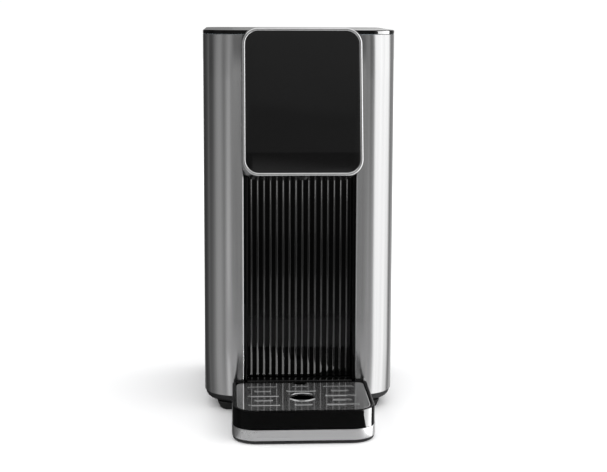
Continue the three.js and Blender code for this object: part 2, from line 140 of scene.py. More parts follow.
# ---------------------------------------------------------------- materials
class NT:
    def __init__(self, name):
        self.m = bpy.data.materials.new(name)
        self.m.use_nodes = True
        self.t = self.m.node_tree
        self.t.nodes.clear()
        self.out = self.n("ShaderNodeOutputMaterial")
        self.b = self.n("ShaderNodeBsdfPrincipled")
        self.t.links.new(self.b.outputs[0], self.out.inputs[0])
        self.co = self.n("ShaderNodeTexCoord").outputs["Object"]

    def n(self, kind, **kw):
        x = self.t.nodes.new(kind)
        for k, v in kw.items():
            setattr(x, k, v)
        return x

    def link(self, a, b):
        self.t.links.new(a, b)

    def set(self, **kw):
        for k, v in kw.items():
            self.b.inputs[k.replace("_", " ")].default_value = v

    def mapped(self, scale, rot=(0, 0, 0)):
        mp = self.n("ShaderNodeMapping")
        mp.inputs["Scale"].default_value = scale
        mp.inputs["Rotation"].default_value = rot
        self.link(self.co, mp.inputs[0])
        return mp.outputs[0]

    def noise(self, vec, scale, detail=4.0, rough=0.55, dist=0.0):
        x = self.n("ShaderNodeTexNoise")
        x.inputs["Scale"].default_value = scale
        x.inputs["Detail"].default_value = detail
        x.inputs["Roughness"].default_value = rough
        x.inputs["Distortion"].default_value = dist
        self.link(vec, x.inputs["Vector"])
        return x.outputs["Fac"]

    def ramp(self, fac, stops):
        x = self.n("ShaderNodeValToRGB")
        e = x.color_ramp.elements
        while len(e) < len(stops):
            e.new(0.5)
        for el, (p, c) in zip(e, stops):
            el.position = p
            el.color = c if len(c) == 4 else (*c, 1)
        self.link(fac, x.inputs[0])
        return x.outputs[0]

    def rng(self, fac, a, b, lo=0.0, hi=1.0):
        x = self.n("ShaderNodeMapRange")
        x.inputs["From Min"].default_value = lo
        x.inputs["From Max"].default_value = hi
        x.inputs["To Min"].default_value = a
        x.inputs["To Max"].default_value = b
        self.link(fac, x.inputs["Value"])
        return x.outputs[0]

    def math(self, op, a, b=None):
        x = self.n("ShaderNodeMath", operation=op)
        for i, v in enumerate((a, b)):
            if v is None:
                continue
            if isinstance(v, (int, float)):
                x.inputs[i].default_value = v
            else:
                self.link(v, x.inputs[i])
        return x.outputs[0]

    def mix(self, fac, a, b):
        x = self.n("ShaderNodeMix", data_type="RGBA")
        for i, v in ((0, fac), (6, a), (7, b)):
            if isinstance(v, (tuple, float, int)):
                x.inputs[i].default_value = v if not isinstance(v, tuple) or len(v) == 4 else (*v, 1)
            else:
                self.link(v, x.inputs[i])
        return x.outputs[2]

    def bump(self, height, dist, strength=1.0, normal=None):
        x = self.n("ShaderNodeBump")
        x.inputs["Strength"].default_value = strength
        x.inputs["Distance"].default_value = dist
        self.link(height, x.inputs["Height"])
        if normal is not None:
            self.link(normal, x.inputs["Normal"])
        self.link(x.outputs[0], self.b.inputs["Normal"])
        return x.outputs[0]

    def edge_wear(self, base, worn, lo=0.52, hi=0.62):
        """lighter, rubbed look along convex edges, broken up by noise"""
        g = self.n("ShaderNodeNewGeometry")
        nz = self.noise(self.mapped((1, 1, 1)), 180, 3)
        p = self.math("ADD", g.outputs["Pointiness"], self.rng(nz, -0.02, 0.02))
        f = self.rng(p, 0.0, 1.0, lo, hi)
        return self.mix(f, base, worn)


def grey(v):
    return (v, v, v * 1.004, 1)


def steel(name, base, rough, axis="Z", aniso=0.0, streak=0.06, fine=0.00002, contrast=0.10, metal=1.0):
    """brushed metal; the grain runs along axis"""
    t = NT(name)
    long = {"Z": (900, 900, 6), "X": (5, 900, 900), "Y": (900, 5, 900)}[axis]
    wide = {"Z": (60, 60, 0.6), "X": (0.6, 60, 60), "Y": (60, 0.6, 60)}[axis]
    a = t.noise(t.mapped(long), 1.0, 5, 0.6)
    b = t.noise(t.mapped(wide), 1.0, 3, 0.5)
    c = t.noise(t.mapped((6, 6, 6)), 1.0, 3, 0.5)
    f = t.math("ADD", t.math("MULTIPLY", a, 0.5), t.math("ADD", t.math("MULTIPLY", b, 0.3), t.math("MULTIPLY", c, 0.2)))
    col = t.ramp(f, [(0.30, grey(base * (1 - contrast))), (0.5, grey(base)), (0.70, grey(min(1.0, base * (1 + contrast))))])
    t.link(col, t.b.inputs["Base Color"])
    rr = t.rng(t.math("ADD", t.math("MULTIPLY", a, 0.6), t.math("MULTIPLY", c, 0.4)), rough - streak, rough + streak, 0.3, 0.7)
    t.link(rr, t.b.inputs["Roughness"])
    t.set(Metallic=metal)
    t.bump(a, fine, 0.6)
    if aniso:
        t.set(Anisotropic=aniso)
        tg = t.n("ShaderNodeTangent", direction_type="UV_MAP", uv_map="UVMap")
        t.link(tg.outputs[0], t.b.inputs["Tangent"])
    return t.m


def polished(name, base, rough, wave=0.00004, wave_scale=28, dust=0.05):
    t = NT(name)
    n1 = t.noise(t.mapped((1, 1, 1)), wave_scale, 2, 0.4)
    n2 = t.noise(t.mapped((1, 1, 1)), 420, 4, 0.6)
    n3 = t.noise(t.mapped((40, 1100, 40), (0, 0, 0.4)), 1.0, 3, 0.6)
    col = t.ramp(n2, [(0.3, grey(base * 0.93)), (0.7, grey(min(1.0, base * 1.05)))])
    t.link(col, t.b.inputs["Base Color"])
    t.link(t.rng(t.math("ADD", t.math("MULTIPLY", n2, 0.5), t.math("MULTIPLY", n3, 0.5)), rough, rough + dust, 0.35, 0.7), t.b.inputs["Roughness"])
    t.set(Metallic=1.0)
    t.bump(n1, wave, 0.5)
    return t.m


def gloss(name, base, rough, spread=0.05, peel=0.00003, spec=0.5, coat=0.0, wear=None, ior=1.5):
    """gloss moulded plastic: faint orange peel, fine dust in the roughness, rubbed edges"""
    t = NT(name)
    n1 = t.noise(t.mapped((1, 1, 1)), 55, 2, 0.4)
    n2 = t.noise(t.mapped((1, 1, 1)), 700, 5, 0.65)
    n3 = t.noise(t.mapped((1, 1, 1)), 9, 3, 0.5)
    c0 = t.ramp(n3, [(0.3, grey(base * 0.8)), (0.7, grey(base * 1.25))])
    if wear:
        c0 = t.edge_wear(c0, grey(wear))
    t.link(c0, t.b.inputs["Base Color"])
    f = t.math("ADD", t.math("MULTIPLY", n2, 0.5), t.math("MULTIPLY", n3, 0.5))
    t.link(t.rng(f, rough, rough + spread, 0.35, 0.68), t.b.inputs["Roughness"])
    t.b.inputs["IOR"].default_value = ior
    t.b.inputs["Specular IOR Level"].default_value = spec
    if coat:
        t.b.inputs["Coat Weight"].default_value = coat
        t.b.inputs["Coat Roughness"].default_value = 0.03
    t.bump(n1, peel, 0.5)
    return t.m


def matte(name, col, rough=0.55, grain=900, depth=0.00006, wear=None, spread=0.12, spec=0.4):
    """satin or grained moulded plastic or rubber"""
    t = NT(name)
    v = t.n("ShaderNodeTexVoronoi", feature="SMOOTH_F1")
    v.inputs["Scale"].default_value = grain
    t.link(t.mapped((1, 1, 1)), v.inputs["Vector"])
    n2 = t.noise(t.mapped((1, 1, 1)), 14, 4, 0.55)
    n3 = t.noise(t.mapped((1, 1, 1)), 320, 4, 0.6)
    c0 = t.ramp(n2, [(0.3, tuple(x * 0.82 for x in col[:3])), (0.7, tuple(min(1, x * 1.18) for x in col[:3]))])
    if wear:
        c0 = t.edge_wear(c0, wear)
    t.link(c0, t.b.inputs["Base Color"])
    f = t.math("ADD", t.math("MULTIPLY", n3, 0.6), t.math("MULTIPLY", n2, 0.4))
    t.link(t.rng(f, rough - spread / 2, rough + spread / 2, 0.3, 0.7), t.b.inputs["Roughness"])
    t.b.inputs["Specular IOR Level"].default_value = spec
    t.bump(v.outputs["Distance"], depth, 0.5)
    return t.m


def clear_plastic(name, col, rough=0.015):
    t = NT(name)
    n1 = t.noise(t.mapped((1, 1, 1)), 30, 2, 0.4)
    n2 = t.noise(t.mapped((1, 1, 1)), 300, 4, 0.6)
    t.link(t.ramp(n1, [(0.3, tuple(x * 0.975 for x in col)), (0.7, tuple(min(1, x * 1.02) for x in col))]), t.b.inputs["Base Color"])
    t.link(t.rng(n2, rough, rough + 0.025, 0.35, 0.7), t.b.inputs["Roughness"])
    t.b.inputs["Transmission Weight"].default_value = 0.94
    t.b.inputs["IOR"].default_value = 1.46
    t.bump(n1, 0.00001, 0.3)
    return t.m


M_STEEL = steel("m_brushed_steel", 0.60, 0.20, "Z", aniso=0.75, streak=0.03, fine=0.000006, contrast=0.05)
M_PLATE = steel("m_polished_steel", 0.60, 0.07, "Y", aniso=0.7, streak=0.02, fine=0.000002, contrast=0.06, metal=0.90)
M_CHROME = polished("m_chrome", 0.86, 0.14, wave=0.00001, dust=0.05)
M_SILVER = steel("m_silver_band", 0.86, 0.30, "X", streak=0.06, fine=0.00003, contrast=0.08)
M_GLOSS = gloss("m_gloss_black", 0.0025, 0.05, spec=0.16, peel=0.00005)
M_SKIRT = steel("m_satin_skirt", 0.42, 0.27, "Y", streak=0.05, fine=0.00001, contrast=0.07)
M_RIBS = gloss("m_gloss_ribs", 0.0015, 0.06, spec=0.5, ior=1.9, peel=0.00008)
M_RECESS = gloss("m_gloss_recess", 0.0006, 0.05, spec=0.5, ior=1.28, peel=0.00005)
M_DISH = gloss("m_gloss_tray", 0.0010, 0.04, spec=0.09, peel=0.00012)
M_UNDER = gloss("m_spout_black", 0.004, 0.12, spec=0.3)
M_MATTE = matte("m_matte_black", (0.011, 0.011, 0.0115), 0.5, wear=(0.04, 0.04, 0.04))
M_RUBBER = matte("m_rubber", (0.012, 0.012, 0.012), 0.8, grain=1400, wear=(0.03, 0.03, 0.03), spec=0.25)
M_GREYP = matte("m_grey_plastic", (0.07, 0.07, 0.075), 0.55, wear=(0.14, 0.14, 0.14))
M_WHITEP = matte("m_white_plastic", (0.7, 0.7, 0.67), 0.45, wear=(0.8, 0.8, 0.78))
M_HOSE = matte("m_hose", (0.62, 0.62, 0.58), 0.5, grain=500)
M_SEAL = matte("m_seal_red", (0.34, 0.06, 0.04), 0.6)
M_BOARD = matte("m_board_green", (0.03, 0.16, 0.06), 0.4, grain=600, depth=0.0001)
M_ALU = steel("m_cast_aluminium", 0.6, 0.42, "Z", streak=0.08, fine=0.00006)
M_ZINC = steel("m_zinc_steel", 0.5, 0.38, "Z", streak=0.08, fine=0.00004)
M_TANK = clear_plastic("m_tank_clear", (0.70, 0.75, 0.78))


def glass_material():
    """black-backed touch glass: a slightly paler tone fades in above a set height, over the plain lower strip"""
    t = NT("m_black_glass")
    sep = t.n("ShaderNodeSeparateXYZ")
    t.link(t.co, sep.inputs[0])
    zedge = (HEAD_Z - 113.0) * MM
    f = t.rng(sep.outputs["Z"], 0.0, 1.0, zedge - 0.0004, zedge + 0.0004)
    n = t.noise(t.mapped((1, 1, 1)), 12, 3, 0.5)
    n2 = t.noise(t.mapped((1, 1, 1)), 160, 5, 0.6)
    top = t.ramp(n, [(0.3, grey(0.0068)), (0.7, grey(0.0078))])
    low = t.ramp(n, [(0.3, grey(0.0034)), (0.7, grey(0.0042))])
    t.link(t.mix(f, low, top), t.b.inputs["Base Color"])
    t.link(t.rng(t.math("ADD", t.math("MULTIPLY", n, 0.5), t.math("MULTIPLY", n2, 0.5)), 0.035, 0.075, 0.35, 0.7), t.b.inputs["Roughness"])
    t.b.inputs["IOR"].default_value = 1.5
    t.bump(n, 0.00002, 0.25)
    return t.m


M_GLASS = glass_material()

SLOT_MAT = {
    "brushed_steel": M_STEEL, "polished_steel": M_PLATE, "chrome_band": M_CHROME, "silver_band": M_SILVER,
    "gloss_black": M_GLOSS, "matte_black": M_MATTE, "black_glass": M_GLASS, "tank_clear": M_TANK,
    "rubber_black": M_RUBBER, "seal_red": M_SEAL, "hose_white": M_HOSE, "board_green": M_BOARD,
    "white_plastic": M_WHITEP, "grey_plastic": M_GREYP, "cast_aluminium": M_ALU, "plated_steel": M_ZINC,
}
NODE_SLOT = {s["node"]: s["material_slot"] for s in frame["record"]["subparts"]}
for node, ob in N.items():
    mt = SLOT_MAT[NODE_SLOT[node]]
    ob.data.materials.clear()
    ob.data.materials.append(mt)
    for p in ob.data.polygons:
        p.use_smooth = True
    ob.data.set_sharp_from_angle(angle=math.radians(32))


# ------------------------------------------------------------- mesh building
def piece(name, verts, faces, mat, body, replaces=(), angle=32, uv=None, weld=1e-6):
    me = bpy.data.meshes.new(name)
    me.from_pydata([(v[0] * MM, v[1] * MM, v[2] * MM) for v in verts], [], faces)
    bm = bmesh.new()
    bm.from_mesh(me)
    bmesh.ops.remove_doubles(bm, verts=bm.verts, dist=weld)
    bmesh.ops.dissolve_degenerate(bm, edges=bm.edges, dist=1e-7)
    bmesh.ops.recalc_face_normals(bm, faces=bm.faces)
    bm.to_mesh(me)
    bm.free()
    return finish_piece(name, me, mat, body, replaces, angle, uv)


def finish_piece(name, me, mat, body, replaces=(), angle=32, uv=None, flat_z=False):
    ob = bpy.data.objects.new(name, me)
    bpy.context.scene.collection.objects.link(ob)
    me.materials.clear()
    me.materials.append(mat)
    for p in me.polygons:
        p.use_smooth = True
    me.set_sharp_from_angle(angle=math.radians(angle))
    if flat_z:
        for p in me.polygons:
            if abs(p.normal.z) > 0.99999:
                p.use_smooth = False
    if uv:
        lay = me.uv_layers.new(name="UVMap")
        for p in me.polygons:
            for li in p.loop_indices:
                v = me.vertices[me.loops[li].vertex_index].co
                lay.data[li].uv = uv(v)
    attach(ob, body)
    if replaces:
        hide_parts(*replaces)
    return ob


def arc(cx, cy, r, a0, a1, n):
    return [(cx + r * math.cos(a0 + (a1 - a0) * i / n), cy + r * math.sin(a0 + (a1 - a0) * i / n)) for i in range(n + 1)]


def rr(hw, y0, y1, rf, rb, inset=0.0, seg=14):
    """rounded plan outline, counter-clockwise, same point count at every inset"""
    x, a, b = hw - inset, y0 + inset, y1 - inset
    f, r = max(rf - inset, 0.05), max(rb - inset, 0.05)
    h = math.pi / 2
    pts = arc(x - f, a + f, f, -h, 0, seg)
    pts += arc(x - r, b - r, r, 0, h, seg)
    pts += arc(-x + r, b - r, r, h, 2 * h, seg)
    pts += arc(-x + f, a + f, f, 2 * h, 3 * h, seg)
    return pts


def loft(rings, cap0=True, cap1=True, loop=False):
    """rings: lists of 3-D points with equal counts"""
    verts, faces = [], []
    n = len(rings[0])
    for r in rings:
        verts += r
    k = len(rings)
    for j in range(k if loop else k - 1):
        a, b = j * n, ((j + 1) % k) * n
        for i in range(n):
            i2 = (i + 1) % n
            faces.append((a + i, a + i2, b + i2, b + i))
    if not loop:
        if cap0:
            faces.append(tuple(range(n))[::-1])
        if cap1:
            faces.append(tuple((k - 1) * n + i for i in range(n)))
    return verts, faces


def stack(fn, prof):
    """fn(inset) -> outline, prof: (inset, z)"""
    return [[(x, y, z) for x, y in fn(i)] for i, z in prof]


def rnd(i0, z0, i1, z1, n=5):
    """quarter round between two profile points: leaves (i0,z0) along z and arrives at (i1,z1) along the inset"""
    out = []
    for k in range(n + 1):
        a = math.pi / 2 * k / n
        out.append((i0 + (i1 - i0) * (1 - math.cos(a)), z0 + (z1 - z0) * math.sin(a)))
    return out


def lathe(prof, x, y, seg=48, axis="Z"):
    rings = []
    for r, z in prof:
        rings.append([(x + r * math.cos(2 * math.pi * i / seg), y + r * math.sin(2 * math.pi * i / seg), z) for i in range(seg)])
    return rings


# --------------------------------------------------------- steel side panels
def panel(side):
    s = 1 if side == "right" else -1
    t, r, x = T_ST, R_F, HW
    fr = 2.0
    out = [(NICHE, YF + 5.2)]
    out += arc(NICHE + fr, YF + fr, fr, math.pi, 1.5 * math.pi, 12)         # soft outer bend of the folded edge
    for k in range(1, 7):                                                    # flat front, for even shading
        out.append((NICHE + fr + (x - r - NICHE - fr) * k / 7, YF))
    out += arc(x - r, YF + r, r, -math.pi / 2, 0, 40)
    out += [(x, YF + r + (Y_PE - 0.25 - YF - r) * k / 6) for k in range(1, 7)]
    out += arc(x - 0.25, Y_PE - 0.25, 0.25, 0, math.pi / 2, 3)[1:]
    inn = [(x - t, Y_PE), (x - t, YF + r)]
    inn += arc(x - r, YF + r, r - t, 0, -math.pi / 2, 40)[1:]
    inn += arc(NICHE + fr, YF + fr, fr - t, 1.5 * math.pi, math.pi, 5) + [(NICHE + t, YF + 5.2)]
    path = [(s * px, py) for px, py in out + inn]
    n_out = len(out)

    def section(e, z):
        """the outer skin pulled in by e, for the broken top and bottom edges"""
        cur = []
        for i, (px, py) in enumerate(path):
            if 0 < i < n_out - 1:
                (ax, ay), (bx, by) = path[i - 1], path[i + 1]
                dx, dy = bx - ax, by - ay
                q = math.hypot(dx, dy)
                px, py = px - s * dy / q * e, py + s * dx / q * e
            cur.append((px, py, z))
        return cur

    rings = [section(0.4, Z_S0), section(0.12, Z_S0 + 0.1), section(0, Z_S0 + 0.4)]
    rings += [section(0, Z_S0 + 0.4 + (Z_S1 - Z_S0 - 0.8) * k / 8) for k in range(1, 8)]
    rings += [section(0, Z_S1 - 0.4), section(0.12, Z_S1 - 0.1), section(0.4, Z_S1)]
    v, f = loft(rings)
    ob = piece("panel_" + side, v, f, M_STEEL, "housing", ("side_panel_" + side,), 40,
               uv=lambda c: (c.z * 4.0, (c.x + c.y) * 4.0))
    return ob


panel("left")
panel("right")

# ----------------------------------------------------------- ribbed niche
np_lo, np_hi = B("niche_panel")
RIBS, PITCH, RIB_HW = 16, 6.22, 1.0
yb = YF + 17.0


def niche():
    """moulded back of the niche: flat floor and rounded side returns, with slim ribs standing on it"""
    xw, w = np_hi.x, 2.0
    p = [(-xw, YF + 0.8)]
    p += arc(-xw + w - 0.5, YF + 0.8 + 0.5, 0.5, -math.pi / 2, 0, 4)
    p += arc(-xw + w + 1.7, yb - 1.7, 1.7, math.pi, math.pi / 2, 6)
    p += [(x, yb) for x in (-30, -10, 10, 30)]
    p += arc(xw - w - 1.7, yb - 1.7, 1.7, math.pi / 2, 0, 6)
    p += arc(xw - w + 0.5, YF + 0.8 + 0.5, 0.5, math.pi, 1.5 * math.pi, 4)
    p += [(xw, YF + 0.8), (xw, np_hi.y), (-xw, np_hi.y)]
    zs = [np_lo.z + (np_hi.z - np_lo.z) * k / 6 for k in range(7)]
    v, f = loft([[(a, b, z) for a, b in p] for z in zs])
    piece("niche_lining", v, f, M_RECESS, "housing", ("niche_panel",), 50)
    verts, faces = [], []
    for k in range(RIBS):
        cx = (k - (RIBS - 1) / 2) * PITCH + random.uniform(-0.05, 0.05)
        hw = RIB_HW * random.uniform(0.93, 1.07)
        turn = math.radians(random.uniform(-0.25, 0.25))
        rs, h = 0.35, 2.0
        q = [(cx - hw - 0.25, yb + 0.3), (cx - hw - 0.12, yb - 0.1)]
        q += arc(cx - hw + rs, yb - h + rs + 0.03, rs, math.pi, 1.5 * math.pi, 6)
        for g in (-0.75, -0.5, -0.25, 0, 0.25, 0.5, 0.75):
            u = g * (hw - rs)
            q.append((cx + u, yb - h + 0.03 * g ** 2 + u * math.tan(turn)))
        q += arc(cx + hw - rs, yb - h + rs + 0.03, rs, 1.5 * math.pi, 2 * math.pi, 6)
        q += [(cx + hw + 0.12, yb - 0.1), (cx + hw + 0.25, yb + 0.3)]
        rings = [[(a, b, z) for a, b in q] for z in [np_lo.z + 0.2 + (np_hi.z - np_lo.z - 0.4) * i / 8 for i in range(9)]]
        vv, ff = loft(rings)
        n0 = len(verts)
        verts += vv
        faces += [tuple(n0 + i for i in fc) for fc in ff]
    piece("niche_ribs", verts, faces, M_RIBS, "housing", (), 50)


niche()

si_lo, si_hi = B("niche_sill")
v, f = loft(stack(lambda i: rr(si_hi.x, si_lo.y, si_hi.y, 0.6, 0.6, i, 3),
                  [(0.3, si_lo.z), (0, si_lo.z + 0.3)] + rnd(0, si_hi.z - 0.5, 0.5, si_hi.z, 4)))
piece("sill", v, f, M_RIBS, "housing", ("niche_sill",))


# --------------------------------------------------------------------- head
ct, st = math.cos(TILT), math.sin(TILT)
Y_HB = YF - 0.4


def face_outline(inset, seg=14):
    x, q = HEAD_HW - inset, max(HEAD_R - inset, 0.5)
    y1, y0 = -inset, -HEAD_L + inset
    h = math.pi / 2
    pts = arc(x - q, y0 + q, q, -h, 0, seg) + arc(x - q, y1 - q, q, 0, h, seg)
    pts += arc(-x + q, y1 - q, q, h, 2 * h, seg) + arc(-x + q, y0 + q, q, 2 * h, 3 * h, seg)
    return pts


def face_pt(x, up_, e):
    s = -up_
    return (x, YF - (HEAD_A + s * st) + e * ct, HEAD_Z - s * ct - e * st)


def to_back(x, up_, y):
    """walks back from the face to plane y: level in the upper half, square to the face below"""
    s = -up_
    y0, z0 = YF - (HEAD_A + s * st), HEAD_Z - s * ct
    return (x, y, z0) if s < HEAD_L / 2 else (x, y, z0 - (y - y0) * st / ct)


CROWN = 1.3


def head():
    rings = []
    # front: inner wall, crowned face of the band, outer round, then back to the housing
    prof = [(RIM, 3.5), (RIM, 1.35)]
    for k in range(13):
        a = math.pi * k / 12
        prof.append((RIM / 2 + RIM / 2 * math.cos(a), CROWN - CROWN * math.sin(a)))
    for i, e in prof:
        rings.append([face_pt(x, u, e) for x, u in face_outline(max(i, 0.0))])
    base = [face_pt(x, u, CROWN) for x, u in face_outline(0)]
    back = [to_back(x, u, Y_HB) for x, u in face_outline(0)]
    for k in range(1, 7):
        w = k / 6
        rings.append([tuple(a + (b - a) * w for a, b in zip(p, q)) for p, q in zip(base, back)])
    back_in = [to_back(x, u, Y_HB) for x, u in face_outline(RIM)]
    rings.append(back_in)
    v, f = loft(rings, loop=True)
    ob = piece("head_skin", v, f, M_CHROME, "housing", ("head_band",), 50)
    # the flat of the underside, where the spout sits, is black
    ob.data.materials.append(M_UNDER)
    ob.data.materials.append(M_SKIRT)
    for p in ob.data.polygons:
        c = p.center / MM
        if abs(c.x) < HEAD_HW - HEAD_R + 0.2 and p.normal.z < -0.7 and c.y > YF - (HEAD_A + HEAD_L * st) + 1.9:
            p.material_index = 1
        elif abs(p.normal.x) > 0.55 and c.y > YF - (HEAD_A + (HEAD_Z - c.z) * st / ct) + 4.5:
            p.material_index = 2
    # glass with a ground edge
    g = []
    gi = RIM + 0.25
    for i, e in [(gi, 3.2), (gi, 0.9)] + [(gi + 0.45 * (1 - math.cos(math.pi / 2 * k / 5)), 0.9 - 0.5 * math.sin(math.pi / 2 * k / 5)) for k in range(1, 6)]:
        g.append([face_pt(x, u, e) for x, u in face_outline(i)])
    v, f = loft(g)
    piece("touch_glass", v, f, M_GLASS, "housing", ("control_glass",), 28)


head()

nz_lo, nz_hi = B("outlet_nozzle")
nx, ny = (nz_lo.x + nz_hi.x) / 2, (nz_lo.y + nz_hi.y) / 2
rings = lathe([(2.6, 250.0), (5.2, 250.0), (5.2, 236.6), (4.9, 235.4), (4.3, 234.5), (3.6, 234.2), (2.9, 234.4), (2.6, 235.0)], nx, ny, 48)
v, f = loft(rings, loop=True)
piece("nozzle_tube", v, f, M_UNDER, "housing", ("outlet_nozzle",))

# ---------------------------------------------------------------- top cover
tc_lo, tc_hi = B("top_cover")
ZL0, ZL1 = Z_S1 + 0.3, tc_hi.z
fn = lambda i: rr(HW, YF, Y_PE + 0.2, R_F, 0.8, i, 24)
prof = [(1.6, ZL0), (0.25, ZL0), (0.0, ZL0 + 0.25)] + rnd(0, ZL1 - 1.3, 1.3, ZL1 - 0.12, 6) + [(4, ZL1 - 0.06), (10, ZL1)]
v, f = loft(stack(fn, [(6, ZL0)] + prof))
piece("lid_shell", v, f, M_GLOSS, "housing", ("top_cover",))

# ---------------------------------------------------------- base pan and feet
bp_lo, bp_hi = B("base_pan")
fn = lambda i: rr(bp_hi.x, bp_lo.y, bp_hi.y, 31.8, 18.0, i, 20)
prof = [(14, bp_lo.z + 0.0), (9.0, bp_lo.z)]
for k in range(1, 11):
    a = math.pi / 2 * k / 10
    prof.append((8.5 * (1 - math.sin(a)), bp_lo.z + 7.0 * (1 - math.cos(a))))
prof += [(0, bp_hi.z - 0.15), (0.15, bp_hi.z), (3, bp_hi.z)]
v, f = loft(stack(fn, prof))
piece("base_shell", v, f, M_MATTE, "housing", ("base_pan",))
for nm in ("front_left", "front_right", "rear_left", "rear_right"):
    lo, hi = B("foot_" + nm)
    cx, cy = (lo.x + hi.x) / 2, (lo.y + hi.y) / 2
    zt = hi.z
    prof = [(0.001, 0.5), (5.0, 0.5), (5.4, 0.0), (7.9, 0.0), (8.4, 0.15), (8.8, 0.5), (9.3, 0.9)]
    prof += [(9.3 + 2.6 * k / 8, 0.9 + (zt - 1.4) * k / 8 - 0.25 * math.sin(math.pi * k / 8)) for k in range(1, 9)]
    prof += [(12.0, zt - 0.3), (11.7, zt), (0.001, zt)]
    v, f = loft(lathe(prof, cx, cy, 48))
    piece("rubber_foot_" + nm, v, f, M_RUBBER, "housing", ("foot_" + nm,))

# ----------------------------------------------------------------- drip tray
td_lo, td_hi = B("tray_dish")
tb_lo, tb_hi = B("tray_band")
ts_lo, ts_hi = B("tray_base")
dp_lo, dp_hi = B("drip_plate")
TW, TYF, TYB, TR = tb_hi.x, tb_lo.y, tb_hi.y, 23.0
tfn = lambda i: rr(TW, TYF, TYB, TR, 4.0, i, 16)
zt = td_hi.z
prof = [(2.6, 3.3), (2.6, 13.45), (0.55, 13.45), (0.4, 13.6)]
prof += [(0.4, 20.0), (0.4, zt - 1.2)] + rnd(0.4, zt - 1.1, 1.5, zt, 6)[1:]
prof += [(3.2, zt), (3.6, zt - 0.12), (3.85, zt - 0.45), (3.9, 28.5), (6.0, 28.5), (6.0, 8.0), (7.5, 6.2), (8.5, 6.0)]
v, f = loft(stack(tfn, prof))
dish = piece("tray_bowl", v, f, M_DISH, "tray", ("tray_dish",))


def box_mesh(x0, x1, y0, y1, z0, z1, b=0.4):
    c = lambda i: rr((x1 - x0) / 2, y0, y1, 0.6, 0.6, i, 3)
    pr = [(b, z0)] + rnd(0, z0 + b, 0, z0 + b, 1) + rnd(0, z1 - b, b, z1, 3)
    rings = stack(c, pr)
    return [[(x + (x0 + x1) / 2, y, z) for x, y, z in r] for r in rings]


for sgn, nm in ((1, "right"), (-1, "left")):
    x0, x1 = sorted((sgn * 24, sgn * 34))
    v, f = loft(box_mesh(x0, x1, TYB - 2.4, td_hi.y, 17, 22))
    piece("tray_tongue_" + nm, v, f, M_DISH, "tray")

prof = [(2.3, 3.3), (0.35, 3.3)] + rnd(0, 3.65, 0, 3.65, 1) + rnd(0, 12.85, 0.35, 13.2, 4) + [(2.3, 13.2)]
rings = stack(tfn, prof)
v, f = loft(rings, loop=True)
piece("tray_trim", v, f, M_SILVER, "tray", ("tray_band",))

prof = [(6.0, 0.0), (2.6, 0.0)]
prof += [(0.8 + 1.8 * (1 - math.sin(math.pi / 2 * k / 6)), 1.9 * (1 - math.cos(math.pi / 2 * k / 6))) for k in range(1, 7)]
prof += [(0.8, 2.9), (0.9, 3.0), (3.0, 3.0)]
v, f = loft(stack(tfn, prof))
piece("tray_foot_ring", v, f, M_MATTE, "tray", ("tray_base",))


